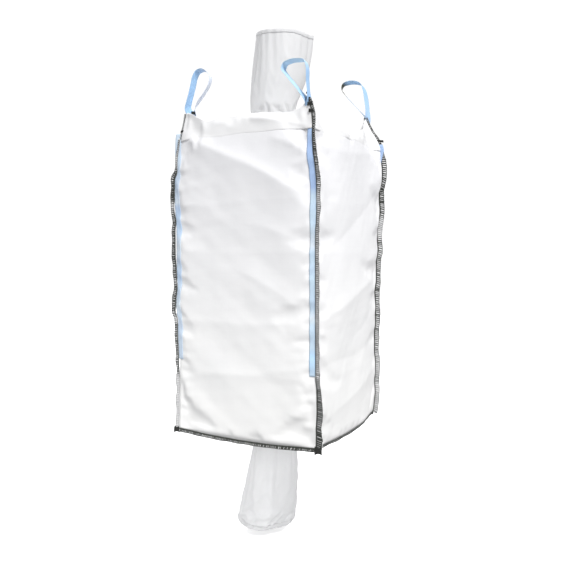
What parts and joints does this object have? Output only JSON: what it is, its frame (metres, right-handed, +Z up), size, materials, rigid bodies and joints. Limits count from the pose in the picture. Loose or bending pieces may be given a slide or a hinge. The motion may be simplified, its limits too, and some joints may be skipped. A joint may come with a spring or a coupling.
{
  "type": "bulk bag",
  "caption": "Square flexible bulk bag with sewn side panels, a filling spout on top, a discharge spout below and webbing lifting loops at its corners.",
  "frame": {"origin": "the lifting point: midway between the four loops, at the height where a fork or spreader carries them", "axes": "+Z up, -Y out of the front panel, +X out of the right panel"},
  "size_m": [0.96, 0.9178, 3.06],
  "materials": {
    "bag_fabric": "woven",
    "spout_fabric": "thin woven",
    "webbing": "woven webbing",
    "seam_thread": "matt thread"
  },
  "bodies": {
    "walls": {"front_panel": "bag_fabric", "back_panel": "bag_fabric", "left_panel": "bag_fabric", "right_panel": "bag_fabric", "front_hem": "bag_fabric", "back_hem": "bag_fabric", "left_hem": "bag_fabric", "right_hem": "bag_fabric", "top_panel": "bag_fabric", "front_left_corner_seam": "bag_fabric", "front_right_corner_seam": "bag_fabric", "back_right_corner_seam": "bag_fabric", "back_left_corner_seam": "bag_fabric", "front_left_outer_leg": "webbing", "front_left_inner_leg": "webbing", "front_right_outer_leg": "webbing", "front_right_inner_leg": "webbing", "back_right_outer_leg": "webbing", "back_right_inner_leg": "webbing", "back_left_outer_leg": "webbing", "back_left_inner_leg": "webbing", "front_left_loop_base": "webbing", "front_right_loop_base": "webbing", "back_right_loop_base": "webbing", "back_left_loop_base": "webbing", "front_left_loop_tack": "seam_thread", "front_right_loop_tack": "seam_thread", "back_right_loop_tack": "seam_thread", "back_left_loop_tack": "seam_thread", "front_left_hem_tack": "seam_thread", "front_right_hem_tack": "seam_thread", "back_right_hem_tack": "seam_thread", "back_left_hem_tack": "seam_thread", "fill_spout_seam_ring": "spout_fabric", "fill_spout_neck": "spout_fabric"},
    "floor": {"bottom_panel": "bag_fabric", "front_bottom_seam": "bag_fabric", "back_bottom_seam": "bag_fabric", "left_bottom_seam": "bag_fabric", "right_bottom_seam": "bag_fabric", "front_left_bottom_tack": "seam_thread", "front_right_bottom_tack": "seam_thread", "back_right_bottom_tack": "seam_thread", "back_left_bottom_tack": "seam_thread", "discharge_spout_seam_ring": "spout_fabric", "discharge_spout_neck": "spout_fabric"},
    "fill_spout": {"fill_spout_tube": "spout_fabric", "fill_spout_hem": "spout_fabric", "fill_spout_side_seam": "spout_fabric"},
    "discharge_spout": {"discharge_spout_tube": "spout_fabric", "discharge_spout_hem": "spout_fabric", "discharge_spout_side_seam": "spout_fabric"},
    "front_left_loop": {"front_left_loop": "webbing"},
    "front_right_loop": {"front_right_loop": "webbing"},
    "back_right_loop": {"back_right_loop": "webbing"},
    "back_left_loop": {"back_left_loop": "webbing"}
  },
  "joints": [
    {"name": "bag_collapse", "type": "slide", "parent": "walls", "child": "floor", "axis": [0, 0, 1], "range_m": [0, 1.4], "deforming": ["front_panel", "back_panel", "left_panel", "right_panel", "front_left_corner_seam", "front_right_corner_seam", "back_right_corner_seam", "back_left_corner_seam", "front_left_outer_leg", "front_left_inner_leg", "front_right_outer_leg", "front_right_inner_leg", "back_right_outer_leg", "back_right_inner_leg", "back_left_outer_leg", "back_left_inner_leg"]},
    {"name": "fill_spout_fold", "type": "hinge", "parent": "walls", "child": "fill_spout", "pos_m": [-0.02378, 0, -0.0845], "axis": [0, 1, 0], "range_deg": [-90, 90], "deforming": ["fill_spout_neck"]},
    {"name": "discharge_spout_fold", "type": "hinge", "parent": "floor", "child": "discharge_spout", "pos_m": [-0.06279, 0, -2.3395], "axis": [0, 1, 0], "range_deg": [-90, 90], "deforming": ["discharge_spout_neck"]},
    {"name": "front_left_loop_swing", "type": "hinge", "parent": "walls", "child": "front_left_loop", "pos_m": [-0.4, -0.4267, -0.2195], "axis": [0, -1, 0], "range_deg": [-60, 100]},
    {"name": "front_right_loop_swing", "type": "hinge", "parent": "walls", "child": "front_right_loop", "pos_m": [0.38, -0.4267, -0.2695], "axis": [0, 1, 0], "range_deg": [-60, 100]},
    {"name": "back_right_loop_swing", "type": "hinge", "parent": "walls", "child": "back_right_loop", "pos_m": [0.382, 0.4267, -0.1795], "axis": [0, 1, 0], "range_deg": [-60, 100]},
    {"name": "back_left_loop_swing", "type": "hinge", "parent": "walls", "child": "back_left_loop", "pos_m": [-0.4, 0.4267, -0.2195], "axis": [0, -1, 0], "range_deg": [-60, 100]}
  ]
}
